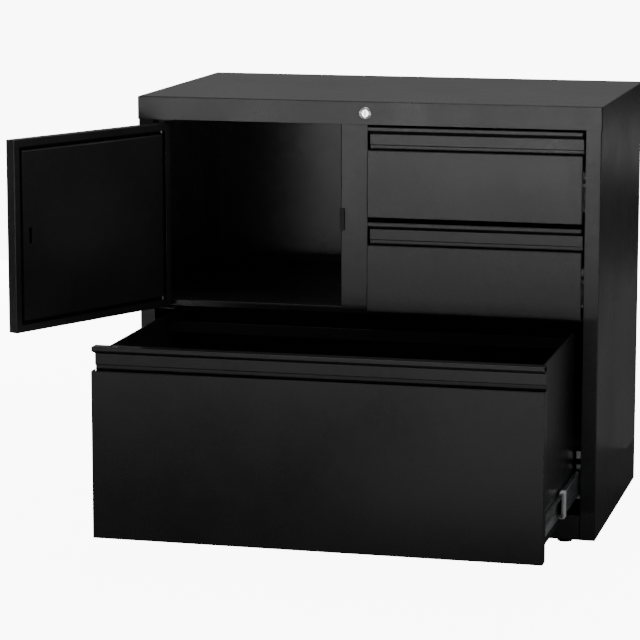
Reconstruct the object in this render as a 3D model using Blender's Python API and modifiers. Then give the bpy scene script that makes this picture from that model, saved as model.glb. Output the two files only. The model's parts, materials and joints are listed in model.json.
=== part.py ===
"""Metal storage cabinet: cupboard with a hinged door, two box drawers and a wide file drawer.

Metres, +Z up. Sizes are written with the drawer fronts' closed plane at y = 0, +Y running
into the case, x = 0 midway between the sides and the floor at z = 0. The last step moves
the whole model so that its stored pose is centred over the origin.
"""
import math

import bmesh
import bpy
from mathutils import Matrix, Vector

# Case
CASE_WIDTH = 0.762          # over the top cap
CASE_DEPTH = 0.4724         # over the top cap
CASE_HEIGHT = 0.7112        # floor to top face
SHEET = 0.001               # folded steel
FIT = 0.0003                # gap between touching pieces
FOOT_GAP = 0.012            # floor to the case's underside
CAP_SKIRT = 0.0375          # height of the cap's turned-down edge
STILE_FACE = 0.0252         # width of the side panels' front edges
RECESS = 0.0235             # fronts to the divider and the shelf behind them
REAR_FLANGE = 0.015
RAIL_DEPTH = 0.0225         # front header and toe rail, front to back
TOE_RAIL_HEIGHT = 0.041
BASE_FLANGE = 0.022
SHELF_SKIRT = 0.0104
DIVIDER_WIDTH = 0.045
DIVIDER_RIGHT = -0.001      # the divider's face towards the box drawers
DIVIDER_NOTCH = 0.0165      # cut at the divider's top front, front to back
POST_WIDTH = 0.040
POST_REACH = 0.0226         # post face to its free edges, towards the side panel
FRONT_POST_Y = 0.030
REAR_POST_SETBACK = 0.0198  # rear post to the case's back face
UPPER_POST_GAP = 0.0099     # upper posts to the case's top

# Levelling glides
GLIDE_INSET_X = 0.056       # from the cap's side
GLIDE_INSET_Y = 0.042       # from the front plane, and from the back less half
GLIDE_FOOT_RADIUS = 0.0125
GLIDE_FOOT_HEIGHT = 0.006
GLIDE_RIM_TOP = 0.003       # upright rim of the foot, from this height
GLIDE_RIM_LOW = 0.0012      # down to this one
GLIDE_SOLE_RADIUS = 0.0115
GLIDE_NECK_RADIUS = 0.00875
GLIDE_NECK_RISE = 0.0018    # cone from the foot up to the stud
GLIDE_STUD_RADIUS = 0.004
GLIDE_STUD_TOP = 0.030
STUD_CLEARANCE = 0.0005

# Drawer fronts
FRONT_DEPTH = 0.0225        # front plane to the back of the backer
PULL_HEIGHT = 0.0375        # front's top to the skin's top edge
PULL_WALL_HEIGHT = 0.031    # front's top to the step under the pull's wall
PULL_WALL_DEPTH = 0.0175    # front plane to the pull's wall
LIP_FRONT = 0.007           # height of the lip's front edge
LIP_END = 0.013             # height of the lip where it meets the wall
HEM_DEPTH = 0.0035          # the skin's turned top edge
HEM_DROP = 0.018
BACKER_FLANGE = 0.010
BACKER_INSET = 0.0012       # backer ends inside the skin's ends

# Box drawers
BOX_COUNT = 2
BOX_FRONT_HEIGHT = 0.1465
BOX_PITCH = 0.1537
BOX_TOP_GAP = 0.0037        # cap skirt to the upper front
BOX_FRONT_LEFT = 0.0024
BOX_STILE_GAP = 0.0037
BOX_SHELF_GAP = 0.0042      # the lower front hangs this far past the shelf's top
BOX_TUB_LIFT = 0.0115       # front's lower edge to the tub's underside
BOX_TUB_HEIGHT = 0.105
BOX_SLIDE_LIFT = 0.040      # front's lower edge to the slide's middle
BOX_SLIDE_HEIGHT = 0.035
BOX_TRAVEL = 0.390

# File drawer
FILE_STILE_GAP = 0.0025
FILE_TOP_GAP = 0.016        # shelf's top to the file front
FILE_BOTTOM_GAP = 0.0039    # toe rail to the file front
FILE_TUB_LIFT = 0.010
FILE_TUB_DROP = 0.008       # front's top to the tub's top
FILE_SLIDE_LIFT = 0.046
FILE_SLIDE_HEIGHT = 0.045
FILE_OUT = 0.344            # how far the stored pose has it pulled out
RAIL_STOCK = 0.002          # hanging rail's thickness
RAIL_TALL = 0.018
RAIL_DROP = 0.012           # tub's top to the rails' tops
RAIL_FRONT_GAP = 0.016      # tub's front wall to the front rail
RAIL_SPAN = 0.322           # between the two rails

# Telescopic slides, as distances from the wall that carries them
TUB_SIDE_ROOM = 0.0135      # wall to the tub's side
TUB_REAR_ROOM = 0.022       # tub's back to the case's back face
SLIDE_STEEL = 0.0012
SLIDE_SHORT = 0.004         # slide ends this far before the tub's back
CASE_MEMBER_REACH = 0.0115
MIDDLE_MEMBER_WEB = 0.0033
MIDDLE_MEMBER_REACH = 0.0105
DRAWER_MEMBER_REACH = 0.0065
MIDDLE_STEP = 0.004         # each member is this much shorter at top and bottom
DRAWER_STEP = 0.009

# Door
DOOR_THICKNESS = 0.018
DOOR_TOP_GAP = 0.006
DOOR_SHELF_LAP = 0.0085     # door's lower edge below the shelf's top
DOOR_HINGE_GAP = 0.0025
DOOR_FREE_EDGE = -0.0015
DOOR_LIP = 0.0165           # the outer pan's turned-in edges
INNER_PAN_DEPTH = 0.010
INNER_PAN_GAP = 0.0008
PIVOT_INSET = 0.009         # hinge pin's axis from the door's hinge edge
PIVOT_DEPTH = 0.006         # hinge pin's axis from the door's face
DOOR_OPEN_DEG = 116.5       # the stored pose
PIN_RADIUS = 0.003
PIN_HOLE_RADIUS = 0.0033
PIN_IN_DOOR = 0.018
HINGE_PLATE = 0.0015
HINGE_PLATE_WIDTH = 0.032
HINGE_PLATE_LENGTH = 0.033
HINGE_PLATE_FRONT = 0.001
LATCH_SLOT_WIDTH = 0.006
LATCH_SLOT_HEIGHT = 0.024
LATCH_SLOT_INSET = 0.033    # from the door's free edge
CATCH_WIDTH = 0.008
CATCH_HEIGHT = 0.036
CATCH_OVERHANG = 0.0015     # catch past the divider's left face
CATCH_THICKNESS = 0.0032
STRIKE_THICKNESS = 0.0012
STRIKE_MARGIN = 0.001       # strike is this much smaller all round

# Lock
LOCK_X = 0.0
LOCK_DROP = 0.0192          # top face to the lock's axis
LOCK_BEZEL_RADIUS = 0.0098
LOCK_BEZEL_THICKNESS = 0.003
LOCK_BEZEL_CHAMFER = 0.0012
LOCK_BEZEL_SIDES = 32
LOCK_BARREL_RADIUS = 0.008
LOCK_BORE_RADIUS = 0.0063
LOCK_PLUG_RADIUS = 0.006
LOCK_HOLE_RADIUS = 0.0083
LOCK_REAR = 0.0195          # barrel's rear end from the front plane
PLUG_REAR = 0.0212
PLUG_SETBACK = 0.00045      # plug's face behind the bezel's face
KEYWAY_WIDTH = 0.0016
KEYWAY_HEIGHT = 0.0072
KEYWAY_DEPTH = 0.010
CAM_THICKNESS = 0.002
CAM_RADIUS = 0.009          # lock's axis to the crank pin
CAM_HUB = 0.0055
CAM_ARM_END = 0.003         # radius round the crank pin
CAM_ARC_STEPS = 10
CAM_PIN_RADIUS = 0.0015
CAM_PIN_LENGTH = 0.005
CAM_REST_DEG = 135.0        # crank angle when unlocked, from +X
BAR_THICKNESS = 0.002
BAR_LEFT = -0.0155
BAR_RIGHT = -0.003
BAR_SLOT_LEFT = -0.0125
BAR_SLOT_RIGHT = -0.0045
BAR_SLOT_HEIGHT = 0.0054
BAR_HEAD = 0.0075           # slot's middle to the bar's top
BAR_FOOT_LIFT = 0.026       # shelf's top to the bar's lower end

# Levels and faces that follow from the sizes above
cap_out = SHEET + FIT
half_case = CASE_WIDTH / 2 - cap_out
case_back = CASE_DEPTH - 2 * cap_out
case_top = CASE_HEIGHT - cap_out
skirt_bottom = CASE_HEIGHT - CAP_SKIRT
stile_in = half_case - STILE_FACE
side_back = case_back - SHEET - FIT
inner_half = half_case - SHEET - FIT
inner_back = side_back - SHEET - FIT
toe_top = FOOT_GAP + TOE_RAIL_HEIGHT
box_tops = [skirt_bottom - BOX_TOP_GAP - BOX_PITCH * row for row in range(BOX_COUNT)]
shelf_top = box_tops[-1] - BOX_FRONT_HEIGHT + BOX_SHELF_GAP
shelf_bottom = shelf_top - SHELF_SKIRT
door_top = skirt_bottom - DOOR_TOP_GAP
door_bottom = shelf_top - DOOR_SHELF_LAP
door_left = -stile_in + DOOR_HINGE_GAP
divider_left = DIVIDER_RIGHT - DIVIDER_WIDTH
header_bottom = skirt_bottom + FIT
tub_front = FRONT_DEPTH + FIT
tub_back = case_back - TUB_REAR_ROOM
slide_back = tub_back - SLIDE_SHORT
file_top = shelf_top - FILE_TOP_GAP
file_bottom = toe_top + FILE_BOTTOM_GAP
lock_z = CASE_HEIGHT - LOCK_DROP
rear_post_y = case_back - REAR_POST_SETBACK - POST_WIDTH
divider_web_back = RECESS + SHEET
pivot_x = door_left + PIVOT_INSET

MATERIALS = {
    "black_paint": ((0.013, 0.013, 0.014), 0.42, 0.0),
    "zinc_steel": ((0.55, 0.57, 0.60), 0.32, 1.0),
    "lock_chrome": ((0.80, 0.80, 0.80), 0.18, 1.0),
    "black_plastic": ((0.020, 0.020, 0.021), 0.55, 0.0),
}


def clear_scene():
    for old in list(bpy.data.objects):
        bpy.data.objects.remove(old, do_unlink=True)


def make_material(name):
    colour, roughness, metallic = MATERIALS[name]
    material = bpy.data.materials.new(name)
    material.use_nodes = True
    shader = material.node_tree.nodes["Principled BSDF"]
    shader.inputs["Base Color"].default_value = (*colour, 1.0)
    shader.inputs["Roughness"].default_value = roughness
    shader.inputs["Metallic"].default_value = metallic
    material.diffuse_color = (*colour, 1.0)
    return material


def make_collection(name):
    group = bpy.data.collections.new(name)
    bpy.context.scene.collection.children.link(group)
    return group


clear_scene()
parts = make_collection("storage_cabinet")
cutters = make_collection("cutters")
materials = {name: make_material(name) for name in MATERIALS}


class Frame:
    """An empty that pieces hang from; origin is where it sits with everything closed."""

    def __init__(self, name, origin=(0, 0, 0), shift=(0, 0, 0), turn_deg=0.0, parent=None):
        self.origin = Vector(origin)
        self.empty = bpy.data.objects.new(name, None)
        parts.objects.link(self.empty)
        self.empty.location = self.origin + Vector(shift)
        self.empty.rotation_euler = (0, 0, math.radians(turn_deg))
        if parent:
            self.empty.parent = parent.empty
            self.empty.location -= parent.origin

    def hold(self, piece):
        piece.parent = self.empty
        piece.location -= self.origin
        return piece


def finish_mesh(name, bm, material, group=None):
    mesh = bpy.data.meshes.new(name)
    bm.to_mesh(mesh)
    bm.free()
    piece = bpy.data.objects.new(name, mesh)
    (group or parts).objects.link(piece)
    if material:
        mesh.materials.append(materials[material])
    return piece


def cube_mesh(low, high):
    low, high = Vector(low), Vector(high)
    bm = bmesh.new()
    size = high - low
    place = Matrix.Translation((low + high) / 2) @ Matrix.Diagonal((*size, 1.0))
    bmesh.ops.create_cube(bm, size=1.0, matrix=place)
    return bm


def block(name, low, high, material, group=None):
    return finish_mesh(name, cube_mesh(low, high), material, group)


def thicken(piece, thickness):
    wall = piece.modifiers.new("sheet", "SOLIDIFY")
    wall.thickness = thickness
    wall.offset = -1.0
    wall.use_even_offset = True
    return piece


def folded(name, path, axis, start, end, material, thickness=SHEET, mirror=False):
    """A folded strip along an axis. Its path is in (x, y) for Z, (y, z) for X and (z, x)
    for Y, and the sheet's thickness lies on the left of the path."""
    if mirror:
        path = [(-u, v) if axis == "Z" else (u, -v) for u, v in reversed(path)]
    order = {"X": (2, 0, 1), "Y": (1, 2, 0), "Z": (0, 1, 2)}[axis]
    bm = bmesh.new()
    rows = []
    for level in (start, end):
        row = []
        for u, v in path:
            spot = (u, v, level)
            row.append(bm.verts.new([spot[order[0]], spot[order[1]], spot[order[2]]]))
        rows.append(row)
    for i in range(len(path) - 1):
        bm.faces.new((rows[0][i], rows[0][i + 1], rows[1][i + 1], rows[1][i]))
    return thicken(finish_mesh(name, bm, material), thickness)


def split_at(bm, point, normal):
    everything = bm.verts[:] + bm.edges[:] + bm.faces[:]
    bmesh.ops.bisect_plane(bm, geom=everything, dist=1e-6, plane_co=point, plane_no=normal)


def open_pan(name, low, high, open_side, material, lip=0.0):
    """A box of sheet with one face open; lip leaves turned-in edges round the opening."""
    bm = cube_mesh(low, high)
    axis = "XYZ".index(open_side[1])
    sign = 1 if open_side[0] == "+" else -1
    mouth = [face for face in bm.faces if face.normal[axis] * sign > 0.9]
    if lip:
        bmesh.ops.inset_region(bm, faces=mouth, thickness=lip)
    bmesh.ops.delete(bm, geom=mouth, context="FACES")
    return thicken(finish_mesh(name, bm, material), SHEET)


def rod(name, base, axis, radius, length, material, segments=24, group=None):
    """A cylinder from base along +X, +Y or +Z."""
    turn = {"X": Matrix.Rotation(math.pi / 2, 4, "Y"),
            "Y": Matrix.Rotation(-math.pi / 2, 4, "X"),
            "Z": Matrix.Identity(4)}[axis]
    bm = bmesh.new()
    place = Matrix.Translation(base) @ turn @ Matrix.Translation((0, 0, length / 2))
    bmesh.ops.create_cone(bm, cap_ends=True, segments=segments, radius1=radius,
                          radius2=radius, depth=length, matrix=place)
    return finish_mesh(name, bm, material, group)


def turned(name, profile, material, closed=False, steps=24):
    """A profile of (radius, height) turned about the piece's own Z axis."""
    bm = bmesh.new()
    points = [bm.verts.new((radius, 0, height)) for radius, height in profile]
    for i in range(len(points) - 1):
        bm.edges.new((points[i], points[i + 1]))
    if closed:
        bm.edges.new((points[-1], points[0]))
    piece = finish_mesh(name, bm, material)
    lathe = piece.modifiers.new("turned", "SCREW")
    lathe.steps = lathe.render_steps = steps
    lathe.use_merge_vertices = True
    lathe.merge_threshold = 1e-5
    lathe.use_smooth_shade = False
    return piece


def join_or_cut(piece, tool, operation):
    tool.hide_render = True
    tool.display_type = "WIRE"
    step = piece.modifiers.new(tool.name, "BOOLEAN")
    step.operation = operation
    step.solver = "EXACT"
    step.object = tool


def cut_round(piece, frame, base, axis, radius, length, name):
    tool = frame.hold(rod(name, base, axis, radius, length, None, group=cutters))
    join_or_cut(piece, tool, "DIFFERENCE")


def cut_block(piece, frame, low, high, name):
    tool = frame.hold(block(name, low, high, None, group=cutters))
    join_or_cut(piece, tool, "DIFFERENCE")


def build_case(case):
    side_path = [
        (stile_in, RECESS - FIT),
        (stile_in, 0),
        (half_case, 0),
        (half_case, side_back),
        (half_case - REAR_FLANGE, side_back),
    ]
    for side, mirror in (("left", True), ("right", False)):
        panel = folded(f"{side}_side_panel", side_path, "Z", FOOT_GAP, case_top,
                       "black_paint", mirror=mirror)
        case.hold(panel)
    case.hold(block("back_panel", (-half_case, case_back - SHEET, FOOT_GAP),
                    (half_case, case_back, case_top), "black_paint"))

    cap = case.hold(open_pan("top_cap", (-CASE_WIDTH / 2, -cap_out, skirt_bottom),
                             (CASE_WIDTH / 2, case_back + cap_out, CASE_HEIGHT),
                             "-Z", "black_paint"))
    rail_half = stile_in - FIT
    header = case.hold(folded("front_header", channel_path(0, RAIL_DEPTH, header_bottom, case_top),
                              "X", -rail_half, rail_half, "black_paint"))
    hole_start = -2 * cap_out
    hole_length = cap_out * 2 + 3 * SHEET
    for piece in (cap, header):
        cut_round(piece, case, (LOCK_X, hole_start, lock_z), "Y", LOCK_HOLE_RADIUS,
                  hole_length, f"{piece.name}_lock_hole")

    case.hold(folded("toe_rail", channel_path(0, RAIL_DEPTH, FOOT_GAP, toe_top),
                     "X", -rail_half, rail_half, "black_paint"))
    case.hold(open_pan("middle_shelf", (-inner_half, RECESS, shelf_bottom),
                       (inner_half, inner_back, shelf_top), "-Z", "black_paint"))

    divider_path = [
        (divider_left, side_back),
        (divider_left, RECESS),
        (DIVIDER_RIGHT, RECESS),
        (DIVIDER_RIGHT, side_back),
    ]
    divider = case.hold(folded("center_divider", divider_path, "Z", shelf_top + FIT,
                               case_top, "black_paint"))
    cut_block(divider, case, (divider_left - SHEET, RECESS - SHEET, skirt_bottom - FIT),
              (DIVIDER_RIGHT + SHEET, RECESS + DIVIDER_NOTCH, CASE_HEIGHT), "divider_notch")

    for end, post_y in (("front", FRONT_POST_Y), ("rear", rear_post_y)):
        post_path = [
            (stile_in + POST_REACH, post_y + POST_WIDTH),
            (stile_in, post_y + POST_WIDTH),
            (stile_in, post_y),
            (stile_in + POST_REACH, post_y),
        ]
        for side, mirror in (("left", True), ("right", False)):
            case.hold(folded(f"{side}_{end}_slide_post", post_path, "Z",
                             FOOT_GAP + SHEET + FIT, shelf_bottom - FIT,
                             "black_paint", mirror=mirror))
        case.hold(folded(f"right_{end}_upper_post", post_path, "Z", shelf_top + FIT,
                         case_top - UPPER_POST_GAP, "black_paint"))


def channel_path(front, back, low, high):
    """A channel open at the back, in (y, z), with its sheet on the inside."""
    return [(back, high), (front, high), (front, low), (back, low)]


def build_base_and_glides(case):
    base = case.hold(open_pan("base_pan", (-inner_half, RECESS, FOOT_GAP),
                              (inner_half, inner_back, FOOT_GAP + BASE_FLANGE),
                              "+Z", "black_paint"))
    glide_x = CASE_WIDTH / 2 - GLIDE_INSET_X
    for end, y in (("front", GLIDE_INSET_Y), ("rear", case_back - GLIDE_INSET_Y)):
        for side, x in (("left", -glide_x), ("right", glide_x)):
            frame = Frame(f"glide_{end}_{side}_axis", origin=(x, y, 0), parent=case)
            glide = turned(f"glide_{end}_{side}", glide_profile(), "black_plastic")
            glide.parent = frame.empty
            cut_round(base, case, (x, y, FOOT_GAP - SHEET), "Z",
                      GLIDE_STUD_RADIUS + STUD_CLEARANCE, 3 * SHEET, f"glide_hole_{end}_{side}")


def glide_profile():
    return [
        (0, GLIDE_STUD_TOP),
        (GLIDE_STUD_RADIUS, GLIDE_STUD_TOP),
        (GLIDE_STUD_RADIUS, GLIDE_FOOT_HEIGHT + GLIDE_NECK_RISE),
        (GLIDE_NECK_RADIUS, GLIDE_FOOT_HEIGHT),
        (GLIDE_FOOT_RADIUS, GLIDE_RIM_TOP),
        (GLIDE_FOOT_RADIUS, GLIDE_RIM_LOW),
        (GLIDE_SOLE_RADIUS, 0),
        (0, 0),
    ]


def build_lock(case):
    axis_point = (LOCK_X, 0, lock_z)
    front = cap_out + FIT
    face_out = front + LOCK_BEZEL_THICKNESS
    facing_out = (math.pi / 2, 0, 0)

    housing = turned("lock_housing", [
        (LOCK_BORE_RADIUS, face_out),
        (LOCK_BEZEL_RADIUS - LOCK_BEZEL_CHAMFER, face_out),
        (LOCK_BEZEL_RADIUS, face_out - LOCK_BEZEL_CHAMFER),
        (LOCK_BEZEL_RADIUS, front),
        (LOCK_BARREL_RADIUS, front),
        (LOCK_BARREL_RADIUS, -LOCK_REAR),
        (LOCK_BORE_RADIUS, -LOCK_REAR),
    ], "lock_chrome", closed=True, steps=LOCK_BEZEL_SIDES)
    housing.location = axis_point
    housing.rotation_euler = facing_out
    case.hold(housing)

    turn = Frame("lock_axis", origin=axis_point, parent=case)
    plug_front = face_out - PLUG_SETBACK
    plug = rod("lock_plug", (LOCK_X, -plug_front, lock_z), "Y", LOCK_PLUG_RADIUS,
               plug_front + PLUG_REAR, "lock_chrome")
    turn.hold(plug)
    cut_block(plug, turn,
              (LOCK_X - KEYWAY_WIDTH / 2, -face_out - SHEET, lock_z - KEYWAY_HEIGHT / 2),
              (LOCK_X + KEYWAY_WIDTH / 2, KEYWAY_DEPTH - face_out, lock_z + KEYWAY_HEIGHT / 2),
              "keyway")

    cam_front = PLUG_REAR + FIT
    cam = turn.hold(cam_plate("lock_cam", cam_front))
    angle = math.radians(CAM_REST_DEG)
    pin_x = LOCK_X + CAM_RADIUS * math.cos(angle)
    pin_z = lock_z + CAM_RADIUS * math.sin(angle)
    pin = turn.hold(rod("cam_pin", (pin_x, cam_front + CAM_THICKNESS / 2, pin_z), "Y",
                        CAM_PIN_RADIUS, CAM_PIN_LENGTH + CAM_THICKNESS / 2, None,
                        segments=12, group=cutters))
    join_or_cut(cam, pin, "UNION")

    bar_front = divider_web_back + 2 * FIT
    slide = Frame("lock_bar_axis", origin=(0, bar_front, pin_z), parent=case)
    bar = slide.hold(block("lock_bar", (BAR_LEFT, bar_front, shelf_top + BAR_FOOT_LIFT),
                           (BAR_RIGHT, bar_front + BAR_THICKNESS, pin_z + BAR_HEAD),
                           "zinc_steel"))
    cut_block(bar, slide, (BAR_SLOT_LEFT, bar_front - SHEET, pin_z - BAR_SLOT_HEIGHT / 2),
              (BAR_SLOT_RIGHT, bar_front + BAR_THICKNESS + SHEET, pin_z + BAR_SLOT_HEIGHT / 2),
              "bar_slot")


def cam_plate(name, front):
    """A flat plate: a round hub and a round arm end, joined by straight sides."""
    angle = math.radians(CAM_REST_DEG)
    spread = math.acos((CAM_HUB - CAM_ARM_END) / CAM_RADIUS)
    end = (CAM_RADIUS * math.cos(angle), CAM_RADIUS * math.sin(angle))
    outline = []
    for i in range(CAM_ARC_STEPS + 1):
        a = angle + spread + (2 * math.pi - 2 * spread) * i / CAM_ARC_STEPS
        outline.append((CAM_HUB * math.cos(a), CAM_HUB * math.sin(a)))
    for i in range(CAM_ARC_STEPS + 1):
        a = angle - spread + 2 * spread * i / CAM_ARC_STEPS
        outline.append((end[0] + CAM_ARM_END * math.cos(a), end[1] + CAM_ARM_END * math.sin(a)))
    bm = bmesh.new()
    rim = [bm.verts.new((LOCK_X + u, front, lock_z + v)) for u, v in outline]
    face = bm.faces.new(rim)
    pushed = bmesh.ops.extrude_face_region(bm, geom=[face])["geom"]
    moved = [item for item in pushed if isinstance(item, bmesh.types.BMVert)]
    bmesh.ops.translate(bm, verts=moved, vec=(0, CAM_THICKNESS, 0))
    bmesh.ops.recalc_face_normals(bm, faces=bm.faces)
    return finish_mesh(name, bm, "zinc_steel")


def build_door(case):
    pivot = Frame("door_axis", origin=(pivot_x, PIVOT_DEPTH, door_bottom),
                  turn_deg=-DOOR_OPEN_DEG, parent=case)
    outer = pivot.hold(open_pan("door_outer_pan", (door_left, 0, door_bottom),
                                (DOOR_FREE_EDGE, DOOR_THICKNESS, door_top), "+Y",
                                "black_paint", lip=DOOR_LIP))
    edge_gap = DOOR_LIP + INNER_PAN_GAP
    inner = pivot.hold(open_pan(
        "door_inner_pan",
        (door_left + edge_gap, DOOR_THICKNESS - INNER_PAN_DEPTH, door_bottom + edge_gap),
        (DOOR_FREE_EDGE - edge_gap, DOOR_THICKNESS, door_top - edge_gap),
        "-Y", "black_paint"))
    slot_x = DOOR_FREE_EDGE - LATCH_SLOT_INSET
    slot_z = (door_bottom + door_top) / 2
    cut_block(inner, pivot,
              (slot_x - LATCH_SLOT_WIDTH / 2, DOOR_THICKNESS - 2 * SHEET,
               slot_z - LATCH_SLOT_HEIGHT / 2),
              (slot_x + LATCH_SLOT_WIDTH / 2, DOOR_THICKNESS + SHEET,
               slot_z + LATCH_SLOT_HEIGHT / 2), "latch_slot")

    plate_left = -stile_in + 2 * FIT
    plates = {
        "top": (header_bottom - FIT - HINGE_PLATE, door_top - PIN_IN_DOOR,
                header_bottom - 2 * FIT, door_top - 2 * SHEET),
        "bottom": (shelf_bottom - FIT - HINGE_PLATE, shelf_bottom - FIT - HINGE_PLATE,
                   door_bottom + PIN_IN_DOOR, door_bottom - SHEET),
    }
    for end, (plate_low, pin_low, pin_high, hole_low) in plates.items():
        plate = case.hold(block(
            f"door_hinge_plate_{end}", (plate_left, HINGE_PLATE_FRONT, plate_low),
            (plate_left + HINGE_PLATE_WIDTH, HINGE_PLATE_FRONT + HINGE_PLATE_LENGTH,
             plate_low + HINGE_PLATE), "black_paint"))
        cut_round(plate, case, (pivot_x, PIVOT_DEPTH, plate_low - SHEET), "Z",
                  PIN_HOLE_RADIUS, HINGE_PLATE + 2 * SHEET, f"hinge_hole_{end}")
        cut_round(outer, pivot, (pivot_x, PIVOT_DEPTH, hole_low), "Z",
                  PIN_HOLE_RADIUS, 3 * SHEET, f"door_hole_{end}")
        pivot.hold(rod(f"door_hinge_pin_{end}", (pivot_x, PIVOT_DEPTH, pin_low), "Z",
                       PIN_RADIUS, pin_high - pin_low, "black_paint"))

    catch_right = DIVIDER_RIGHT - DIVIDER_WIDTH - CATCH_OVERHANG + CATCH_WIDTH
    catch_low = slot_z - CATCH_HEIGHT / 2
    catch_back = RECESS - FIT
    case.hold(block("door_magnet_catch",
                    (catch_right - CATCH_WIDTH, catch_back - CATCH_THICKNESS, catch_low),
                    (catch_right, catch_back, catch_low + CATCH_HEIGHT), "black_plastic"))
    strike_front = DOOR_THICKNESS + FIT
    pivot.hold(block("door_strike_plate",
                     (catch_right - CATCH_WIDTH + STRIKE_MARGIN, strike_front,
                      catch_low + STRIKE_MARGIN),
                     (catch_right - STRIKE_MARGIN, strike_front + STRIKE_THICKNESS,
                      catch_low + CATCH_HEIGHT - STRIKE_MARGIN), "black_paint"))


def front_skin(name, left, right, low, top):
    """A drawer's outer front: a pan open at the back, its top edge turned over as a hem."""
    skin_top = top - PULL_HEIGHT
    depth = FRONT_DEPTH - SHEET - FIT
    end_room = SHEET + FIT
    bm = cube_mesh((left, 0, low), (right, depth, skin_top))
    split_at(bm, (0, HEM_DEPTH, 0), (0, 1, 0))
    split_at(bm, (left + end_room, 0, 0), (1, 0, 0))
    split_at(bm, (right - end_room, 0, 0), (1, 0, 0))
    unwanted = []
    for face in bm.faces:
        middle = face.calc_center_median()
        is_back = face.normal.y > 0.9
        is_top = face.normal.z > 0.9 and middle.y > HEM_DEPTH
        if is_back or is_top:
            unwanted.append(face)
    bmesh.ops.delete(bm, geom=unwanted, context="FACES")
    hem = []
    for edge in bm.edges:
        ends = [vert.co for vert in edge.verts]
        on_line = all(abs(p.y - HEM_DEPTH) < 1e-6 and abs(p.z - skin_top) < 1e-6 for p in ends)
        inside = all(left + end_room / 2 < p.x < right - end_room / 2 for p in ends)
        if on_line and inside:
            hem.append(edge)
    drop = bmesh.ops.extrude_edge_only(bm, edges=hem)["geom"]
    moved = [item for item in drop if isinstance(item, bmesh.types.BMVert)]
    bmesh.ops.translate(bm, verts=moved, vec=(0, 0, -HEM_DROP))
    return thicken(finish_mesh(name, bm, "black_paint"), SHEET)


def front_backer(name, left, right, low, top):
    """The inner front with the pull: top face, lip, recessed wall, step and slot wall."""
    slot_wall = FRONT_DEPTH - SHEET
    path = [
        (FRONT_DEPTH, top - BACKER_FLANGE),
        (FRONT_DEPTH, top),
        (0, top),
        (0, top - LIP_FRONT),
        (PULL_WALL_DEPTH, top - LIP_END),
        (PULL_WALL_DEPTH, top - PULL_WALL_HEIGHT),
        (slot_wall, top - PULL_WALL_HEIGHT),
        (slot_wall, low + SHEET),
    ]
    return folded(name, path, "X", left + BACKER_INSET, right - BACKER_INSET, "black_paint")


def slide_pair(prefix, side, wall, z_mid, height, case, middle, carriage):
    """One telescopic slide: the case's, the middle and the drawer's members."""

    def section(near, far, half):
        path = [(z_mid + half, far), (z_mid + half, near), (z_mid - half, near), (z_mid - half, far)]
        return path if side > 0 else path[::-1]

    def member(name, near, far, half, frame):
        near_x, far_x = wall - side * near, wall - side * far
        path = section(near_x, far_x, half)
        if near > far:
            path = path[::-1]
        frame.hold(folded(name, path, "Y", tub_front, slide_back, "zinc_steel",
                          thickness=SLIDE_STEEL))

    half = height / 2
    member(f"{prefix}_case_member", FIT, CASE_MEMBER_REACH, half, case)
    member(f"{prefix}_middle_member", MIDDLE_MEMBER_WEB, MIDDLE_MEMBER_REACH,
           half - MIDDLE_STEP, middle)
    member(f"{prefix}_drawer_member", TUB_SIDE_ROOM - FIT, DRAWER_MEMBER_REACH,
           half - DRAWER_STEP, carriage)


def build_drawer(name, case, left, right, low, top, tub, slide, out):
    """tub is (low, high) heights and slide is (middle height, section height)."""
    centre = ((left + right) / 2, 0, (low + top) / 2)
    carriage = Frame(f"{name}_axis", origin=centre, shift=(0, -out, 0), parent=case)
    carriage.hold(front_skin(f"{name}_front_skin", left, right, low, top))
    carriage.hold(front_backer(f"{name}_front_backer", left, right, low, top))
    left_wall, right_wall = slide["walls"]
    tub_left, tub_right = left_wall + TUB_SIDE_ROOM, right_wall - TUB_SIDE_ROOM
    carriage.hold(open_pan(f"{name}_tub", (tub_left, tub_front, tub[0]),
                           (tub_right, tub_back, tub[1]), "+Z", "black_paint"))
    for side_name, side, wall in (("left", -1, left_wall), ("right", 1, right_wall)):
        middle = Frame(f"{name}_{side_name}_middle_axis", origin=centre,
                       shift=(0, -out / 2, 0), parent=case)
        slide_pair(f"{name}_{side_name}_slide", side, wall, slide["z"], slide["height"],
                   case, middle, carriage)
    return carriage


def build_drawers(case):
    names = ["upper_box", "lower_box"]
    for row, top in enumerate(box_tops):
        low = top - BOX_FRONT_HEIGHT
        tub_low = low + BOX_TUB_LIFT
        slide = {"walls": (DIVIDER_RIGHT, stile_in), "z": low + BOX_SLIDE_LIFT,
                 "height": BOX_SLIDE_HEIGHT}
        build_drawer(names[row], case, BOX_FRONT_LEFT, stile_in - BOX_STILE_GAP, low, top,
                     (tub_low, tub_low + BOX_TUB_HEIGHT), slide, 0.0)

    half = stile_in - FILE_STILE_GAP
    tub_top = file_top - FILE_TUB_DROP
    slide = {"walls": (-stile_in, stile_in), "z": file_bottom + FILE_SLIDE_LIFT,
             "height": FILE_SLIDE_HEIGHT}
    carriage = build_drawer("file", case, -half, half, file_bottom, file_top,
                            (file_bottom + FILE_TUB_LIFT, tub_top), slide, FILE_OUT)
    rail_half = stile_in - TUB_SIDE_ROOM - SHEET - FIT
    rail_top = tub_top - RAIL_DROP
    front_y = tub_front + SHEET + RAIL_FRONT_GAP
    for end, y in (("front", front_y), ("rear", front_y + RAIL_SPAN)):
        carriage.hold(block(f"file_hanging_rail_{end}", (-rail_half, y, rail_top - RAIL_TALL),
                            (rail_half, y + RAIL_STOCK, rail_top), "black_paint"))


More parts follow.
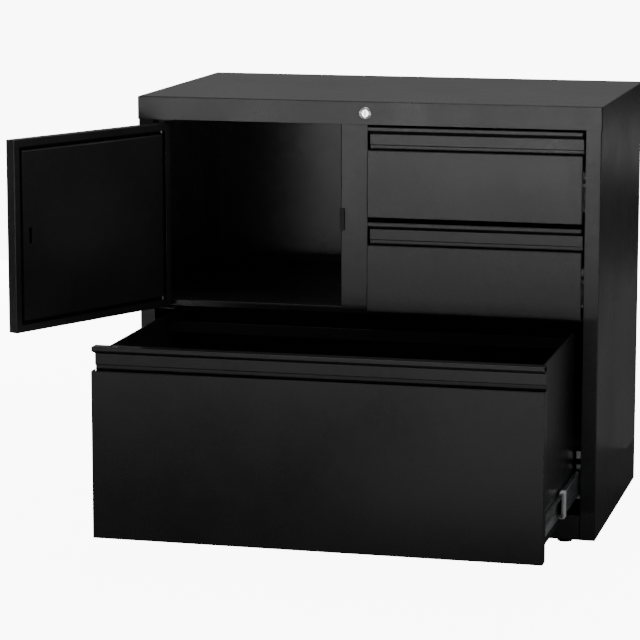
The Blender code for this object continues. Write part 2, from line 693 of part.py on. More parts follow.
def centre_stored_pose(root):
    """Puts the stored pose's box centre over the origin, with its lowest point at z = 0."""
    bpy.context.view_layer.update()
    graph = bpy.context.evaluated_depsgraph_get()
    low, high = Vector((1e9,) * 3), Vector((-1e9,) * 3)
    for piece in parts.objects:
        if piece.type != "MESH":
            continue
        ready = piece.evaluated_get(graph)
        for vert in ready.data.vertices:
            spot = ready.matrix_world @ vert.co
            low = Vector(map(min, low, spot))
            high = Vector(map(max, high, spot))
    root.empty.location = (-(low.x + high.x) / 2, -(low.y + high.y) / 2, -low.z)
    bpy.context.view_layer.update()


case_frame = Frame("cabinet_frame")
build_case(case_frame)
build_base_and_glides(case_frame)
build_lock(case_frame)
build_door(case_frame)
build_drawers(case_frame)
centre_stored_pose(case_frame)
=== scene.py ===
import json
import math

import bmesh
import bpy
from mathutils import Matrix, Vector


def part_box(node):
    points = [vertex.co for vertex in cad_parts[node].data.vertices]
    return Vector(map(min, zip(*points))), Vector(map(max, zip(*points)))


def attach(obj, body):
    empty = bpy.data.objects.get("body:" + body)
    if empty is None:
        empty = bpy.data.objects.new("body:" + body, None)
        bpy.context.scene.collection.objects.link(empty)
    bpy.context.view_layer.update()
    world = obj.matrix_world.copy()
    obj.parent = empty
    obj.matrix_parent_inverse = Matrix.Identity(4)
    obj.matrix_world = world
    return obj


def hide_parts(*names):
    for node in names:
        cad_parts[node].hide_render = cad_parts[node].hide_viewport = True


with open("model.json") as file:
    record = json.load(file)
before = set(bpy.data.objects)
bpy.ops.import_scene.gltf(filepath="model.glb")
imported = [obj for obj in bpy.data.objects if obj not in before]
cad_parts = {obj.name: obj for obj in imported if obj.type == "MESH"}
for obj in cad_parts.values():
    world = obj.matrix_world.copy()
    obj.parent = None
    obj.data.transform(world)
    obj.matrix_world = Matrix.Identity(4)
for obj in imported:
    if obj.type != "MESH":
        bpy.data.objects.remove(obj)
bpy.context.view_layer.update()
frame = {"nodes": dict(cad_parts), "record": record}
nodes = frame["nodes"]
bodyOf = {node: body for body, members in frame["record"]["behaviour"]["bodies"].items() for node in members}
slotOf = {part["node"]: part["material_slot"] for part in frame["record"]["subparts"]}
print("frame loaded:", len(nodes), "nodes")


# small node helpers
def addNode(tree, kind, inputs=None, **settings):
    node = tree.nodes.new(kind)
    for name, value in settings.items():
        setattr(node, name, value)
    for name, value in (inputs or {}).items():
        socket = node.inputs[name]
        if isinstance(value, bpy.types.NodeSocket):
            tree.links.new(value, socket)
        else:
            socket.default_value = value
    return node


def newMaterial(name):
    material = bpy.data.materials.new(name)
    material.use_nodes = True
    material.node_tree.nodes.clear()
    return material, material.node_tree


def finishMaterial(tree, shader):
    addNode(tree, "ShaderNodeOutputMaterial", {"Surface": shader.outputs[0]})


def noiseOf(tree, place, scale, detail=2.0, roughness=0.5):
    inputs = {"Vector": place, "Scale": scale, "Detail": detail, "Roughness": roughness}
    return addNode(tree, "ShaderNodeTexNoise", inputs).outputs["Fac"]


def spread(tree, value, low, high, start=0.3, end=0.7):
    inputs = {"Value": value, "From Min": start, "From Max": end, "To Min": low, "To Max": high}
    return addNode(tree, "ShaderNodeMapRange", inputs).outputs["Result"]


# finishes
powder = {
    "colour": (0.0125, 0.0125, 0.0130, 1.0), "dusty": (0.0175, 0.0175, 0.0180, 1.0),
    "roughness": (0.24, 0.31), "bendRoughness": (0.23, 0.30),
    "grain": 1500.0, "peel": 420.0, "cloud": 5.0,    # per metre: texture, orange peel, handling
    "grainDepth": 0.000018, "peelDepth": 0.00002, "specular": 0.5,
}


def powderCoat(name, roughness):
    material, tree = newMaterial(name)
    place = addNode(tree, "ShaderNodeTexCoord").outputs["Object"]
    cloud = noiseOf(tree, place, powder["cloud"], 4.0, 0.6)
    speck = noiseOf(tree, place, powder["grain"], 2.0)
    peel = noiseOf(tree, place, powder["peel"], 2.0)
    tint = addNode(tree, "ShaderNodeMix", data_type="RGBA")
    tree.links.new(spread(tree, cloud, 0.0, 1.0), tint.inputs["Factor"])
    tint.inputs["A"].default_value = powder["colour"]
    tint.inputs["B"].default_value = powder["dusty"]
    broad = spread(tree, cloud, *roughness)
    fine = spread(tree, speck, -0.03, 0.03)
    rough = addNode(tree, "ShaderNodeMath", operation="ADD")
    tree.links.new(broad, rough.inputs[0])
    tree.links.new(fine, rough.inputs[1])
    peelBump = addNode(tree, "ShaderNodeBump",
                       {"Height": peel, "Strength": 1.0, "Distance": powder["peelDepth"]})
    grainBump = addNode(tree, "ShaderNodeBump",
                        {"Height": speck, "Strength": 1.0, "Distance": powder["grainDepth"],
                         "Normal": peelBump.outputs["Normal"]})
    shader = addNode(tree, "ShaderNodeBsdfPrincipled",
                     {"Base Color": tint.outputs["Result"], "Roughness": rough.outputs[0],
                      "Specular IOR Level": powder["specular"],
                      "Normal": grainBump.outputs["Normal"]})
    finishMaterial(tree, shader)
    return material


zinc = {
    "colour": (0.50, 0.55, 0.63, 1.0), "warm": (0.58, 0.57, 0.53, 1.0),
    "bright": (0.86, 0.87, 0.90, 1.0), "brightWarm": (0.80, 0.79, 0.76, 1.0),
    "roughness": (0.22, 0.40), "streak": 900.0, "patch": 35.0, "depth": 0.00001,
}


def zincPlate(name, colour, warm):
    material, tree = newMaterial(name)
    place = addNode(tree, "ShaderNodeTexCoord").outputs["Object"]
    drawn = addNode(tree, "ShaderNodeMapping", {"Vector": place, "Scale": (1.0, 0.03, 1.0)})
    streak = noiseOf(tree, drawn.outputs["Vector"], zinc["streak"], 3.0)
    patch = noiseOf(tree, place, zinc["patch"], 3.0)
    tint = addNode(tree, "ShaderNodeMix", data_type="RGBA")
    tree.links.new(spread(tree, patch, 0.0, 1.0), tint.inputs["Factor"])
    tint.inputs["A"].default_value = colour
    tint.inputs["B"].default_value = warm
    bump = addNode(tree, "ShaderNodeBump",
                   {"Height": streak, "Strength": 1.0, "Distance": zinc["depth"]})
    shader = addNode(tree, "ShaderNodeBsdfPrincipled",
                     {"Base Color": tint.outputs["Result"], "Metallic": 1.0,
                      "Roughness": spread(tree, streak, *zinc["roughness"]),
                      "Normal": bump.outputs["Normal"]})
    finishMaterial(tree, shader)
    return material


chrome = {"colour": (0.86, 0.86, 0.87, 1.0), "roughness": (0.10, 0.24), "scuff": 260.0}


def brightChrome():
    material, tree = newMaterial("brightChrome")
    place = addNode(tree, "ShaderNodeTexCoord").outputs["Object"]
    scuff = noiseOf(tree, place, chrome["scuff"], 5.0, 0.7)
    shader = addNode(tree, "ShaderNodeBsdfPrincipled",
                     {"Base Color": chrome["colour"], "Metallic": 1.0,
                      "Roughness": spread(tree, scuff, *chrome["roughness"])})
    finishMaterial(tree, shader)
    return material


plastic = {"colour": (0.018, 0.018, 0.019, 1.0), "roughness": (0.48, 0.60),
           "grain": 1200.0, "depth": 0.00003}


def mouldedPlastic(name, colour):
    material, tree = newMaterial(name)
    place = addNode(tree, "ShaderNodeTexCoord").outputs["Object"]
    grain = noiseOf(tree, place, plastic["grain"], 2.0)
    bump = addNode(tree, "ShaderNodeBump",
                   {"Height": grain, "Strength": 1.0, "Distance": plastic["depth"]})
    shader = addNode(tree, "ShaderNodeBsdfPrincipled",
                     {"Base Color": colour, "Roughness": spread(tree, grain, *plastic["roughness"]),
                      "Normal": bump.outputs["Normal"]})
    finishMaterial(tree, shader)
    return material


coat = powderCoat("powderCoat", powder["roughness"])
coatBend = powderCoat("powderCoatBend", powder["bendRoughness"])
zincSteel = zincPlate("zincPlate", zinc["colour"], zinc["warm"])
brightSteel = zincPlate("brightSteel", zinc["bright"], zinc["brightWarm"])
chromePlate = brightChrome()
blackPlastic = mouldedPlastic("blackPlastic", plastic["colour"])
palePlastic = mouldedPlastic("palePlastic", (0.86, 0.87, 0.88, 1.0))
materialOfSlot = {"black_paint": coat, "zinc_steel": zincSteel, "lock_chrome": chromePlate,
                  "black_plastic": blackPlastic}
for name, node in nodes.items():
    node.data.materials.clear()
    node.data.materials.append(materialOfSlot[slotOf[name]])
print("finishes made")


# mesh helpers
def addObject(name, mesh):
    piece = bpy.data.objects.new(name, mesh)
    bpy.context.scene.collection.objects.link(piece)
    return piece


def meshFrom(name, bm):
    mesh = bpy.data.meshes.new(name)
    bm.to_mesh(mesh)
    bm.free()
    return mesh


def settled(piece):
    graph = bpy.context.evaluated_depsgraph_get()
    done = bpy.data.meshes.new_from_object(piece.evaluated_get(graph), depsgraph=graph)
    piece.modifiers.clear()
    piece.data = done
    return piece


sheet = {"thickness": 0.001, "outerBend": 0.0014, "innerBend": 0.0004, "cutEdge": 0.00022,
         "blockEdge": 0.0003, "segments": 3, "sharpest": 25.0, "cutFaceWidth": 1.3,
         "weld": 1e-6, "flat": 1.0, "fit": 0.0003}    # lengths in metres, angles in degrees


def isCutFace(face):
    around = sum(edge.calc_length() for edge in face.edges)
    return 2 * face.calc_area() / around < sheet["cutFaceWidth"] * sheet["thickness"]


def edgeRadius(edge, solid):
    if len(edge.link_faces) != 2:
        return 0.0
    bend = math.degrees(edge.calc_face_angle_signed(0.0))
    if abs(bend) < sheet["sharpest"]:
        return 0.0
    if solid:
        return sheet["blockEdge"]
    if any(isCutFace(face) for face in edge.link_faces):
        return sheet["cutEdge"]
    return sheet["outerBend"] if bend > 0 else sheet["innerBend"]


def plainCopy(mesh):
    bm = bmesh.new()
    bm.from_mesh(mesh)
    bmesh.ops.remove_doubles(bm, verts=bm.verts, dist=sheet["weld"])
    flat = math.radians(sheet["flat"])
    bmesh.ops.dissolve_limit(bm, angle_limit=flat, verts=bm.verts, edges=bm.edges)
    return bm


def roundEdges(bm, solid=False, bend=sheet["outerBend"]):
    layer = bm.edges.layers.float.new("bevel_weight_edge")
    for edge in bm.edges:
        radius = edgeRadius(edge, solid)
        edge[layer] = 1.0 if radius == sheet["outerBend"] else radius / bend
    for face in bm.faces:
        face.smooth = True


def flattenPlanes(mesh):
    # flat faces keep one normal, so that only the rounded edges turn the light
    normals = [corner.vector.copy() for corner in mesh.corner_normals]
    for polygon in mesh.polygons:
        if polygon.material_index == 0:
            for corner in polygon.loop_indices:
                normals[corner] = polygon.normal.copy()
    mesh.normals_split_custom_set(normals)


def bevelled(name, bm, finish, edgeFinish=None, bend=sheet["outerBend"]):
    piece = addObject(name, meshFrom(name, bm))
    piece.data.materials.append(finish)
    piece.data.materials.append(edgeFinish or finish)
    bevel = piece.modifiers.new("bends", "BEVEL")
    bevel.limit_method = "WEIGHT"
    bevel.width = bend
    bevel.segments = sheet["segments"]
    bevel.use_clamp_overlap = False
    bevel.harden_normals = True
    bevel.material = 1
    settled(piece)
    flattenPlanes(piece.data)
    return piece


def standFor(piece, node):
    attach(piece, bodyOf[node])
    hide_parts(node)


# rows and patterns
def newTree(name, inputs):
    tree = bpy.data.node_groups.new(name, "GeometryNodeTree")
    tree.interface.new_socket("Geometry", in_out="INPUT", socket_type="NodeSocketGeometry")
    sockets = {}
    for label, kind in inputs.items():
        made = tree.interface.new_socket(label, in_out="INPUT", socket_type=f"NodeSocket{kind}")
        sockets[label] = made.identifier
    tree.interface.new_socket("Geometry", in_out="OUTPUT", socket_type="NodeSocketGeometry")
    return tree, tree.nodes.new("NodeGroupInput"), sockets


def endTree(tree, geometry, finish):
    real = addNode(tree, "GeometryNodeRealizeInstances", {"Geometry": geometry})
    dressed = addNode(tree, "GeometryNodeSetMaterial",
                      {"Geometry": real.outputs["Geometry"], "Material": finish})
    out = tree.nodes.new("NodeGroupOutput")
    tree.links.new(dressed.outputs["Geometry"], out.inputs["Geometry"])


def makeFastenerTree():
    # one copy of a fastener on each marked point, standing along that point's facing
    tree, given, sockets = newTree("fastenersOnMarks", {"Fastener": "Object", "Finish": "Material"})
    pattern = addNode(tree, "GeometryNodeObjectInfo", {"Object": given.outputs["Fastener"]})
    facing = addNode(tree, "GeometryNodeInputNamedAttribute", {"Name": "facing"},
                     data_type="FLOAT_VECTOR")
    turn = addNode(tree, "FunctionNodeAlignRotationToVector",
                   {"Vector": facing.outputs["Attribute"]}, axis="Z")
    copies = addNode(tree, "GeometryNodeInstanceOnPoints",
                     {"Points": given.outputs["Geometry"],
                      "Instance": pattern.outputs["Geometry"],
                      "Rotation": turn.outputs["Rotation"]})
    endTree(tree, copies.outputs["Instances"], given.outputs["Finish"])
    return tree, sockets


def makeSlotTree():
    # a grid of slots cut through a sheet
    tree, given, sockets = newTree("slotRows", {"First": "Vector", "Across": "Vector",
                                                "Along": "Vector", "Slot": "Vector",
                                                "Rows": "Int", "Count": "Int",
                                                "Finish": "Material"})
    row = addNode(tree, "GeometryNodeMeshLine",
                  {"Count": given.outputs["Count"], "Start Location": given.outputs["First"],
                   "Offset": given.outputs["Along"]}, mode="OFFSET")
    rows = addNode(tree, "GeometryNodeMeshLine",
                   {"Count": given.outputs["Rows"], "Offset": given.outputs["Across"]}, mode="OFFSET")
    grid = addNode(tree, "GeometryNodeInstanceOnPoints",
                   {"Points": rows.outputs["Mesh"], "Instance": row.outputs["Mesh"]})
    points = addNode(tree, "GeometryNodeRealizeInstances", {"Geometry": grid.outputs["Instances"]})
    slot = addNode(tree, "GeometryNodeMeshCube", {"Size": given.outputs["Slot"]})
    slots = addNode(tree, "GeometryNodeInstanceOnPoints",
                    {"Points": points.outputs["Geometry"], "Instance": slot.outputs["Mesh"]})
    cutters = addNode(tree, "GeometryNodeRealizeInstances", {"Geometry": slots.outputs["Instances"]})
    cut = addNode(tree, "GeometryNodeMeshBoolean", operation="DIFFERENCE", solver="EXACT")
    tree.links.new(given.outputs["Geometry"], cut.inputs["Mesh 1"])
    tree.links.new(cutters.outputs["Geometry"], cut.inputs["Mesh 2"])
    endTree(tree, cut.outputs["Mesh"], given.outputs["Finish"])
    return tree, sockets


def makeThreadTree():
    # a round ridge wound up a stud
    tree, given, sockets = newTree("studThread", {"Radius": "Float", "Height": "Float",
                                                  "Turns": "Float", "Ridge": "Float",
                                                  "Place": "Vector", "Finish": "Material"})
    coil = addNode(tree, "GeometryNodeCurveSpiral",
                   {"Resolution": 16, "Rotations": given.outputs["Turns"],
                    "Start Radius": given.outputs["Radius"],
                    "End Radius": given.outputs["Radius"], "Height": given.outputs["Height"]})
    ridge = addNode(tree, "GeometryNodeCurvePrimitiveCircle",
                    {"Resolution": 5, "Radius": given.outputs["Ridge"]}, mode="RADIUS")
    wound = addNode(tree, "GeometryNodeCurveToMesh",
                    {"Curve": coil.outputs["Curve"], "Profile Curve": ridge.outputs["Curve"],
                     "Fill Caps": True})
    placed = addNode(tree, "GeometryNodeTransform",
                     {"Geometry": wound.outputs["Mesh"], "Translation": given.outputs["Place"]})
    both = addNode(tree, "GeometryNodeJoinGeometry")
    tree.links.new(given.outputs["Geometry"], both.inputs["Geometry"])
    tree.links.new(placed.outputs["Geometry"], both.inputs["Geometry"])
    endTree(tree, both.outputs["Geometry"], given.outputs["Finish"])
    return tree, sockets


fastenerTree = makeFastenerTree()
slotTree = makeSlotTree()
threadTree = makeThreadTree()


def runTree(piece, made, values):
    tree, sockets = made
    step = piece.modifiers.new(tree.name, "NODES")
    step.node_group = tree
    for label, value in values.items():
        step[sockets[label]] = value
    return settled(piece)


def turnedMesh(name, profile, sides, spot=(0, 0, 0), facing=(0, 0, 1)):
    # profile of (radius, height) turned about facing, from spot
    place = Matrix.Translation(spot) @ Vector(facing).to_track_quat("Z", "Y").to_matrix().to_4x4()
    bm = bmesh.new()
    rings = []
    for radius, height in profile:
        if radius < 1e-7:
            rings.append([bm.verts.new(place @ Vector((0, 0, height)))])
            continue
        ring = []
        for i in range(sides):
            angle = 2 * math.pi * i / sides
            ring.append(bm.verts.new(place @ Vector((radius * math.cos(angle),
                                                     radius * math.sin(angle), height))))
        rings.append(ring)
    for low, high in zip(rings, rings[1:]):
        for i in range(sides):
            j = (i + 1) % sides
            corners = (low[i % len(low)], low[j % len(low)], high[j % len(high)], high[i % len(high)])
            corners = list(dict.fromkeys(corners))
            if len(corners) > 2:
                bm.faces.new(corners)
    bmesh.ops.remove_doubles(bm, verts=bm.verts, dist=1e-7)
    bmesh.ops.recalc_face_normals(bm, faces=bm.faces)
    for face in bm.faces:
        face.smooth = True
    mesh = meshFrom(name, bm)
    mesh.set_sharp_from_angle(angle=math.radians(35))
    return mesh


def addTurned(name, profile, sides, spot, facing, finish, body, node=None):
    piece = addObject(name, turnedMesh(name, profile, sides, spot, facing))
    piece.data.materials.append(finish)
    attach(piece, body)
    if node:
        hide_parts(node)
    return piece


def scatter(name, pattern, marks, finish, body):
    mesh = bpy.data.meshes.new(name)
    mesh.from_pydata([spot for spot, _ in marks], [], [])
    facing = mesh.attributes.new("facing", "FLOAT_VECTOR", "POINT")
    for item, (_, way) in zip(facing.data, marks):
        item.vector = way
    holder = addObject(f"{name}_pattern", pattern)
    piece = runTree(addObject(name, mesh), fastenerTree, {"Fastener": holder, "Finish": finish})
    bpy.data.objects.remove(holder)
    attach(piece, body)
    return piece


def foldedStrip(name, path, axis, start, end, thickness, finish, body, edge=0.0002):
    # a folded strip along an axis; path is in (x, y) for Z, (y, z) for X and (z, x) for Y
    order = {"X": (2, 0, 1), "Y": (1, 2, 0), "Z": (0, 1, 2)}[axis]
    bm = bmesh.new()
    rows = []
    for level in (start, end):
        row = []
        for u, v in path:
            spot = (u, v, level)
            row.append(bm.verts.new([spot[i] for i in order]))
        rows.append(row)
    for i in range(len(path) - 1):
        bm.faces.new((rows[0][i], rows[0][i + 1], rows[1][i + 1], rows[1][i]))
    for face in bm.faces:
        face.smooth = True
    piece = addObject(name, meshFrom(name, bm))
    piece.data.materials.append(finish)
    wall = piece.modifiers.new("sheet", "SOLIDIFY")
    wall.thickness = thickness
    wall.offset = 0.0
    wall.use_even_offset = True
    soft = piece.modifiers.new("edges", "BEVEL")
    soft.width = edge
    soft.segments = 2
    soft.limit_method = "ANGLE"
    soft.harden_normals = True
    settled(piece)
    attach(piece, body)
    return piece


# folded sheets and plates, straight from the frame
solidNodes = ("door_strike_plate", "door_magnet_catch", "file_hanging_rail_front",
              "file_hanging_rail_rear", "door_hinge_plate_top", "door_hinge_plate_bottom",
              "lock_bar", "lock_cam", "back_panel", "lock_plug")
turnedNodes = ("lock_housing", "door_hinge_pin_top", "door_hinge_pin_bottom")
widerBends = {"door_inner_pan": 0.0026, "top_cap": 0.0017}
postSlot = {"width": 0.0035, "height": 0.013, "pitch": 0.0254, "lift": 0.018, "apart": 0.016}


def slottedPost(name):
    low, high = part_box(name)
    outer = abs(low.x) > abs(high.x)
    web = high.x if outer else low.x
    piece = addObject(f"{name}_plain", meshFrom(name, plainCopy(nodes[name].data)))
    piece.data.materials.append(coat)
    middle = (low.y + high.y) / 2
    count = int((high.z - low.z - 2 * postSlot["lift"]) / postSlot["pitch"]) + 1
    runTree(piece, slotTree, {
        "First": (web, middle - postSlot["apart"] / 2, low.z + postSlot["lift"]),
        "Across": (0.0, postSlot["apart"], 0.0), "Along": (0.0, 0.0, postSlot["pitch"]),
        "Slot": (4 * sheet["thickness"], postSlot["width"], postSlot["height"]),
        "Rows": 2, "Count": count, "Finish": coat})
    bm = plainCopy(piece.data)
    bpy.data.objects.remove(piece)
    return bm


for name in sorted(nodes):
    if name in turnedNodes or name.startswith("glide_"):
        continue
    finish = materialOfSlot[slotOf[name]]
    edgeFinish = coatBend if finish is coat else finish
    bm = slottedPost(name) if name.endswith("_post") else plainCopy(nodes[name].data)
    bend = widerBends.get(name, sheet["outerBend"])
    roundEdges(bm, name in solidNodes, bend)
    fine = bevelled(f"{name}_fine", bm, finish, edgeFinish, bend)
    standFor(fine, name)
print("folded sheets rounded")


# lock
lock = {"sides": 64, "rim": 0.0012, "dish": 0.0007, "lip": 0.0012, "threadPitch": 0.0010,
        "threadDepth": 0.0003, "nutFlat": 0.0110, "nutThickness": 0.0030, "bore": 0.0063}


def buildLock():
    low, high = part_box("lock_housing")
    centre = Vector(((low.x + high.x) / 2, low.y, (low.z + high.z) / 2))
    radius = (high.x - low.x) / 2
    length = high.y - low.y
    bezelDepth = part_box("top_cap")[0].y - low.y - sheet["fit"]
    bore, rim = lock["bore"], lock["rim"]
    profile = [(bore, 0.0006), (bore + 0.0004, 0.0002)]
    profile += [(radius - rim - lock["lip"], lock["dish"]), (radius - rim - 0.0003, 0.0001)]
    for i in range(7):
        angle = math.pi / 2 * i / 6
        profile.append((radius - rim + rim * math.sin(angle), rim - rim * math.cos(angle)))
    barrel = radius - 0.0018
    profile += [(radius, bezelDepth), (barrel, bezelDepth)]
    depth = bezelDepth + 0.003
    while depth < length - 0.002:
        profile += [(barrel, depth), (barrel - lock["threadDepth"], depth + lock["threadPitch"] / 2)]
        depth += lock["threadPitch"]
    profile += [(barrel, length - 0.0006), (barrel - 0.0006, length), (bore, length), (bore, 0.0006)]
    addTurned("lockBarrel", profile, lock["sides"], centre, (0, 1, 0), chromePlate,
              "cabinet", "lock_housing")
    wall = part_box("front_header")[0].y + sheet["thickness"] + sheet["fit"]
    flat = lock["nutFlat"]
    start = wall - low.y
    nut = [(barrel + 0.0002, start), (flat, start), (flat, start + lock["nutThickness"]),
           (barrel + 0.0002, start + lock["nutThickness"]), (barrel + 0.0002, start)]
    addTurned("lockNut", nut, 6, centre, (0, 1, 0), zincSteel, "cabinet")


buildLock()
print("lock turned")


# levelling feet
foot = {"sides": 48, "threadPitch": 0.00125, "ridge": 0.00032, "nutOuter": 0.0075,
        "nutInner": 0.0047, "nutHeight": 0.0055, "sole": 0.0008}


def buildFeet():
    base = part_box("base_pan")[0].z + sheet["thickness"]
    for end in ("front", "rear"):
        for side in ("left", "right"):
            node = f"glide_{end}_{side}"
            low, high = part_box(node)
            spot = ((low.x + high.x) / 2, (low.y + high.y) / 2, 0.0)
            wide = (high.x - low.x) / 2
            profile = [(0, 0), (wide - foot["sole"] - 0.0006, 0), (wide - 0.0006, 0.0003),
                       (wide, 0.0012), (wide, 0.0030), (wide - 0.0007, 0.0040),
                       (wide - 0.0025, 0.0052), (0.0080, 0.0062), (0.0066, 0.0070),
                       (0.0060, 0.0078), (0.0036, 0.0079), (0.0036, high.z - 0.0006),
                       (0.0030, high.z), (0, high.z)]
            name = f"{node}_foot"
            piece = addObject(name, turnedMesh(name, profile, foot["sides"], spot))
            piece.data.materials.append(blackPlastic)
            height = high.z - 0.0100
            runTree(piece, threadTree, {"Radius": 0.0036, "Height": height, "Ridge": foot["ridge"],
                                        "Turns": height / foot["threadPitch"],
                                        "Place": (spot[0], spot[1], 0.0085),
                                        "Finish": blackPlastic})
            standFor(piece, node)
            inner, outer, tall = foot["nutInner"], foot["nutOuter"], base + foot["nutHeight"]
            nut = [(inner, base), (outer, base), (outer, tall - 0.0006), (outer - 0.0009, tall),
                   (inner, tall), (inner, base)]
            addTurned(f"{node}_nut", nut, 6, spot, (0, 0, 1), zincSteel, "cabinet")


buildFeet()
print("feet made")


# door hinges
hinge = {"sides": 32, "round": 0.0006, "washerOuter": 0.0065, "washerInner": 0.0034,
         "gap": 0.0002}


def buildHinges():
    doorTop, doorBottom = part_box("door_outer_pan")[1].z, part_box("door_outer_pan")[0].z
    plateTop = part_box("door_hinge_plate_top")[0].z
    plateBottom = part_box("door_hinge_plate_bottom")[1].z
    for end, start, stop in (("top", doorTop, plateTop), ("bottom", plateBottom, doorBottom)):
        node = f"door_hinge_pin_{end}"
        low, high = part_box(node)
        spot = ((low.x + high.x) / 2, (low.y + high.y) / 2, 0.0)
        wide, soft = (high.x - low.x) / 2, hinge["round"]
        pin = [(0, low.z), (wide - soft, low.z), (wide, low.z + soft), (wide, high.z - soft),
               (wide - soft, high.z), (0, high.z)]
        addTurned(f"{node}_round", pin, hinge["sides"], spot, (0, 0, 1), zincSteel, "door",
                  node)
        inner, outer = hinge["washerInner"], hinge["washerOuter"]
        start, stop = start + hinge["gap"], stop - hinge["gap"]
        washer = [(inner, start), (outer - 0.0003, start), (outer, start + 0.0003),
                  (outer, stop - 0.0003), (outer - 0.0003, stop), (inner, stop), (inner, start)]
        addTurned(f"door_hinge_washer_{end}", washer, hinge["sides"], spot, (0, 0, 1),
                  blackPlastic, "door")


buildHinges()
print("hinges made")


# slides: ball rows, ball strips, hooks and end stops
slide = {
    "steel": 0.0012, "middleStep": 0.004, "ballPitch": 0.0085, "balls": 12, "strip": 0.0005,
    # inset is from the slide's edge, reach, web and lip from the wall, start from the middle's front
    "rows": {
        "outer": {"inset": 0.0026, "reach": 0.0078, "ball": 0.0013, "web": 0.0022, "lip": 0.0100,
                  "start": 0.2050},
        "inner": {"inset": 0.0071, "reach": 0.0086, "ball": 0.0018, "web": 0.0052, "lip": 0.0112,
                  "start": 0.0240},
    },
    "hooks": ((0.0440, 0.012), (0.0255, 0.005), (-0.0255, 0.005)),    # rise and height
    "boxScale": 0.78,    # box drawers' hooks against the file drawer's
}


def ballMesh(radius):
    bm = bmesh.new()
    bmesh.ops.create_icosphere(bm, subdivisions=2, radius=radius)
    for face in bm.faces:
        face.smooth = True
    return meshFrom("ball", bm)


def buildSlide(drawer, side):
    sign = 1 if side == "right" else -1
    name = f"{drawer}_{side}_slide"
    body = f"{drawer}_{side}_slide_middle"
    low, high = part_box(f"{name}_case_member")
    wall = (high.x + sheet["fit"]) if sign > 0 else (low.x - sheet["fit"])
    middle = (low.z + high.z) / 2
    half = (high.z - low.z) / 2
    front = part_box(f"{name}_middle_member")[0].y

    def across(reach):
        return wall - sign * reach

    for label, row in slide["rows"].items():
        lift = half - row["inset"]
        first = front + row["start"]
        marks = []
        for i in range(slide["balls"]):
            for up in (-1, 1):
                spot = (across(row["reach"]), first + slide["ballPitch"] * (i + 0.5), middle + up * lift)
                marks.append((spot, (0, 0, 1)))
        scatter(f"{name}_{label}_balls", ballMesh(row["ball"]), marks, chromePlate, body)
        lip, web = across(row["lip"]), across(row["web"])
        path = [(middle + lift, lip), (middle + lift, web), (middle - lift, web), (middle - lift, lip)]
        end = first + slide["ballPitch"] * slide["balls"]
        foldedStrip(f"{name}_{label}_ball_strip", path, "Y", first, end, slide["strip"], brightSteel,
                    body, 0.00012)
    stop = half - slide["middleStep"] - slide["steel"] - 0.0010
    path = [(middle + stop, across(0.0102)), (middle + stop, across(0.0052)),
            (middle - stop, across(0.0052)), (middle - stop, across(0.0102))]
    foldedStrip(f"{name}_end_stop", path, "Y", front + 0.0004, front + 0.016, 0.0012, brightSteel,
                body, 0.0003)
    guard = half - 0.0026
    path = [(middle + guard, across(0.0095)), (middle + guard, across(0.0024)),
            (middle - guard, across(0.0024)), (middle - guard, across(0.0095))]
    foldedStrip(f"{name}_front_guard", path, "Y", front + 0.0002, front + 0.020, 0.0013, palePlastic,
                body, 0.0002)
    face = front + 0.0019
    path = [(across(0.0060), face), (across(0.0024), face), (across(0.0024), front + 0.012)]
    tall = half - slide["middleStep"] + 0.0004
    foldedStrip(f"{name}_front_face", path, "Z", middle - tall, middle + tall, 0.0010, brightSteel,
                body, 0.0002)
    tabFront = low.y + 0.0012
    scale = 1.0 if drawer == "file" else slide["boxScale"]
    for i, (rise, tall) in enumerate(slide["hooks"]):
        base = middle + rise * scale
        path = [(across(0.0007), tabFront), (across(0.0095), tabFront),
                (across(0.0095), tabFront + 0.008)]
        foldedStrip(f"{name}_hook_{i + 1}", path, "Z", base - tall / 2, base + tall / 2, 0.0012,
                    brightSteel, "cabinet")


for drawer in ("file", "upper_box", "lower_box"):
    for side in ("left", "right"):
        buildSlide(drawer, side)
print("slides filled")


# rivets, screws and rims
rivet = {"radius": 0.0032, "height": 0.0010, "pitch": 0.080, "inset": 0.0085}
screw = {"radius": 0.0038, "height": 0.0018, "recess": 0.0011}
rim = {"drop": 0.009, "steel": 0.0010, "away": 0.0012}


def rivetMesh():
    wide, tall = rivet["radius"], rivet["height"]
    profile = [(0, -0.0003), (wide, -0.0003), (wide, 0.0002)]
    for i in range(1, 6):
        angle = math.pi / 2 * i / 5
        profile.append((wide * math.cos(angle) * 0.98, 0.0002 + (tall - 0.0002) * math.sin(angle)))
    return turnedMesh("rivet", profile[:-1] + [(0, tall)], 20)


def screwMesh():
    wide, tall = screw["radius"], screw["height"]
    profile = [(0, -0.0003), (wide, -0.0003), (wide, 0.0006), (wide * 0.9, 0.0012),
               (wide * 0.6, tall * 0.93), (0, tall)]
    head = addObject("screwHead", turnedMesh("screwHead", profile, 20))
    bars = bmesh.new()
    for size in ((0.0045, 0.0009, 0.0030), (0.0009, 0.0045, 0.0030)):
        place = Matrix.Translation((0, 0, tall - screw["recess"] + 0.0015)) @ Matrix.Diagonal((*size, 1))
        bmesh.ops.create_cube(bars, size=1.0, matrix=place)
    cross = addObject("cross", meshFrom("cross", bars))
    cut = head.modifiers.new("cross", "BOOLEAN")
    cut.object = cross
    cut.solver = "EXACT"
    cut.use_self = True
    settled(head)
    mesh = head.data
    bpy.data.objects.remove(head)
    bpy.data.objects.remove(cross)
    return mesh


